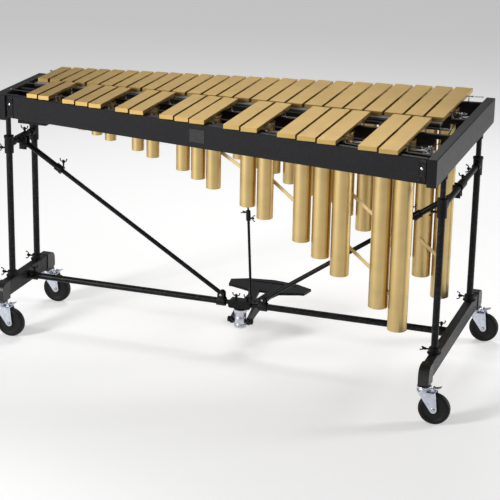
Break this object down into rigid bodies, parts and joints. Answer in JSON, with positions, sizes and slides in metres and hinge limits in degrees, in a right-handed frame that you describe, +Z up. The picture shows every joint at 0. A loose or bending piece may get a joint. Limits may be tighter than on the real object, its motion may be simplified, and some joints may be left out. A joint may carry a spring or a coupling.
{
  "type": "vibraphone",
  "caption": "Mallet instrument on a wheeled stand: graduated gold metal bars in two rows over tube resonators, with a foot pedal that lowers a felt damper bar.",
  "frame": {"origin": "centre of the bounding box at floor level", "axes": "+X along the bars' row towards the low notes, +Y towards the player's side with the pedal plate, +Z up"},
  "size_m": [1.6484, 0.878, 0.857],
  "materials": {
    "gold_bar": "matt gold anodised",
    "gold_tube": "satin gold anodised",
    "gold_strap": "satin gold anodised",
    "stopper": "dull gold",
    "charcoal_panel": "smooth charcoal lacquer",
    "charcoal_fascia": "satin charcoal lacquer",
    "black_rail": "black lacquer",
    "black_tube": "satin black powder coat",
    "black_casting": "textured black enamel",
    "black_beam": "satin black powder coat",
    "black_plastic": "fine moulded texture",
    "dark_box": "hammered dark grey",
    "silver": "brushed silver",
    "steel": "bright steel",
    "chrome": "polished",
    "zinc": "zinc plated",
    "wheel_rubber": "black rubber",
    "belt_rubber": "matt",
    "felt": "pressed felt",
    "cord": "braided cord"
  },
  "bodies": {
    "stand": {"base_beams": "black_beam", "beam_end_caps": "black_plastic", "leg_sockets": "black_casting", "leg_tubes": "black_tube", "leg_clamps": "black_casting", "cross_tubes": "black_tube", "brace_brackets": "black_casting", "brace_sleeves": "black_tube", "brace_rods": "black_tube", "crossbar": "black_tube", "crossbar_fittings": "black_casting", "pedal_carriage": "black_casting", "spring_housing": "silver", "pedal_spring": "steel", "stand_screws": "black_casting"},
    "pedal": {"pedal": "black_casting"},
    "pedal_rod": {"pedal_rod": "black_tube", "rod_clutch": "black_casting"},
    "rod_extension": {"rod_extension": "black_tube"},
    "frame": {"end_panel_high": "charcoal_panel", "end_panel_low": "charcoal_panel", "fascia": "charcoal_fascia", "bar_rails": "black_rail", "crossmembers": "black_tube", "frame_brackets": "black_casting", "leg_posts": "black_tube", "frame_screws": "chrome", "cord_posts": "steel", "bar_cords": "cord", "natural_bars_low": "gold_bar", "natural_bars_high": "gold_bar", "accidental_bars_low": "gold_bar", "accidental_bars_high": "gold_bar", "natural_resonators": "gold_tube", "accidental_resonators": "gold_tube", "resonator_stoppers": "stopper", "resonator_rails": "black_tube", "resonator_straps": "gold_strap", "control_box": "dark_box", "motor": "dark_box", "drive_belts": "belt_rubber", "damper_springs": "steel"},
    "damper": {"damper_bar": "black_tube", "damper_felt": "felt"},
    "natural_fans": {"natural_fans": "silver"},
    "accidental_fans": {"accidental_fans": "silver"},
    "motor_rotor": {"motor_pulley": "silver"},
    "caster_front_high": {"fork_front_high": "zinc"},
    "wheel_front_high": {"wheel_front_high": "wheel_rubber"},
    "brake_front_high": {"brake_front_high": "zinc"},
    "caster_rear_high": {"fork_rear_high": "zinc"},
    "wheel_rear_high": {"wheel_rear_high": "wheel_rubber"},
    "brake_rear_high": {"brake_rear_high": "zinc"},
    "caster_front_low": {"fork_front_low": "zinc"},
    "wheel_front_low": {"wheel_front_low": "wheel_rubber"},
    "brake_front_low": {"brake_front_low": "zinc"},
    "caster_rear_low": {"fork_rear_low": "zinc"},
    "wheel_rear_low": {"wheel_rear_low": "wheel_rubber"},
    "brake_rear_low": {"brake_rear_low": "zinc"}
  },
  "joints": [
    {"name": "height_adjust", "type": "slide", "parent": "stand", "child": "frame", "axis": [0, 0, 1], "range_m": [-0.035, 0.07]},
    {"name": "pedal_press", "type": "hinge", "parent": "stand", "child": "pedal", "pos_m": [0.01825, -0.023, 0.098], "axis": [-1, 0, 0], "range_deg": [0, 6], "stiffness_Nm_per_rad": 40, "springref_deg": -17.19},
    {"name": "rod_drop", "type": "slide", "parent": "stand", "child": "pedal_rod", "axis": [0, 0, -1], "range_m": [0, 0.0116]},
    {"name": "rod_extend", "type": "slide", "parent": "pedal_rod", "child": "rod_extension", "axis": [0, -0.1368, 0.9906], "range_m": [-0.036, 0.072]},
    {"name": "damper_drop", "type": "slide", "parent": "frame", "child": "damper", "axis": [0, 0, -1], "range_m": [0, 0.0116], "stiffness_N_per_m": 1200, "springref_m": -0.025, "deforming": ["damper_springs"]},
    {"name": "motor_spin", "type": "hinge", "parent": "frame", "child": "motor_rotor", "pos_m": [0.68025, -0.005, 0.772], "axis": [1, 0, 0], "continuous": true},
    {"name": "natural_fan_spin", "type": "hinge", "parent": "frame", "child": "natural_fans", "pos_m": [-0.01975, 0.15778, 0.809], "axis": [0.9957, 0.0924, 0], "continuous": true},
    {"name": "accidental_fan_spin", "type": "hinge", "parent": "frame", "child": "accidental_fans", "pos_m": [-0.01975, -0.1727, 0.809], "axis": [0.9963, -0.0864, 0], "continuous": true},
    {"name": "swivel_front_high", "type": "hinge", "parent": "stand", "child": "caster_front_high", "pos_m": [-0.77975, -0.207, 0.11], "axis": [0, 0, 1], "continuous": true},
    {"name": "roll_front_high", "type": "hinge", "parent": "caster_front_high", "child": "wheel_front_high", "pos_m": [-0.74575, -0.207, 0.05], "axis": [0, 1, 0], "continuous": true},
    {"name": "brake_front_high", "type": "hinge", "parent": "caster_front_high", "child": "brake_front_high", "pos_m": [-0.75075, -0.207, 0.113], "axis": [0, 1, 0], "range_deg": [0, 12]},
    {"name": "swivel_rear_high", "type": "hinge", "parent": "stand", "child": "caster_rear_high", "pos_m": [-0.77975, 0.161, 0.11], "axis": [0, 0, 1], "continuous": true},
    {"name": "roll_rear_high", "type": "hinge", "parent": "caster_rear_high", "child": "wheel_rear_high", "pos_m": [-0.74575, 0.161, 0.05], "axis": [0, 1, 0], "continuous": true},
    {"name": "brake_rear_high", "type": "hinge", "parent": "caster_rear_high", "child": "brake_rear_high", "pos_m": [-0.75075, 0.161, 0.113], "axis": [0, 1, 0], "range_deg": [0, 12]},
    {"name": "swivel_front_low", "type": "hinge", "parent": "stand", "child": "caster_front_low", "pos_m": [0.74025, -0.392, 0.11], "axis": [0, 0, 1], "continuous": true},
    {"name": "roll_front_low", "type": "hinge", "parent": "caster_front_low", "child": "wheel_front_low", "pos_m": [0.77425, -0.392, 0.05], "axis": [0, 1, 0], "continuous": true},
    {"name": "brake_front_low", "type": "hinge", "parent": "caster_front_low", "child": "brake_front_low", "pos_m": [0.76925, -0.392, 0.113], "axis": [0, 1, 0], "range_deg": [0, 12]},
    {"name": "swivel_rear_low", "type": "hinge", "parent": "stand", "child": "caster_rear_low", "pos_m": [0.74025, 0.346, 0.11], "axis": [0, 0, 1], "continuous": true},
    {"name": "roll_rear_low", "type": "hinge", "parent": "caster_rear_low", "child": "wheel_rear_low", "pos_m": [0.77425, 0.346, 0.05], "axis": [0, 1, 0], "continuous": true},
    {"name": "brake_rear_low", "type": "hinge", "parent": "caster_rear_low", "child": "brake_rear_low", "pos_m": [0.76925, 0.346, 0.113], "axis": [0, 1, 0], "range_deg": [0, 12]}
  ],
  "couplings": [
    {"joint": "rod_drop", "follows": "pedal_press", "m_per_rad": 0.11},
    {"joint": "damper_drop", "follows": "pedal_press", "m_per_rad": 0.11},
    {"joint": "rod_extend", "follows": "height_adjust", "ratio": 1.0095},
    {"joint": "natural_fan_spin", "follows": "motor_spin", "ratio": 0.71429},
    {"joint": "accidental_fan_spin", "follows": "motor_spin", "ratio": 0.71429}
  ]
}
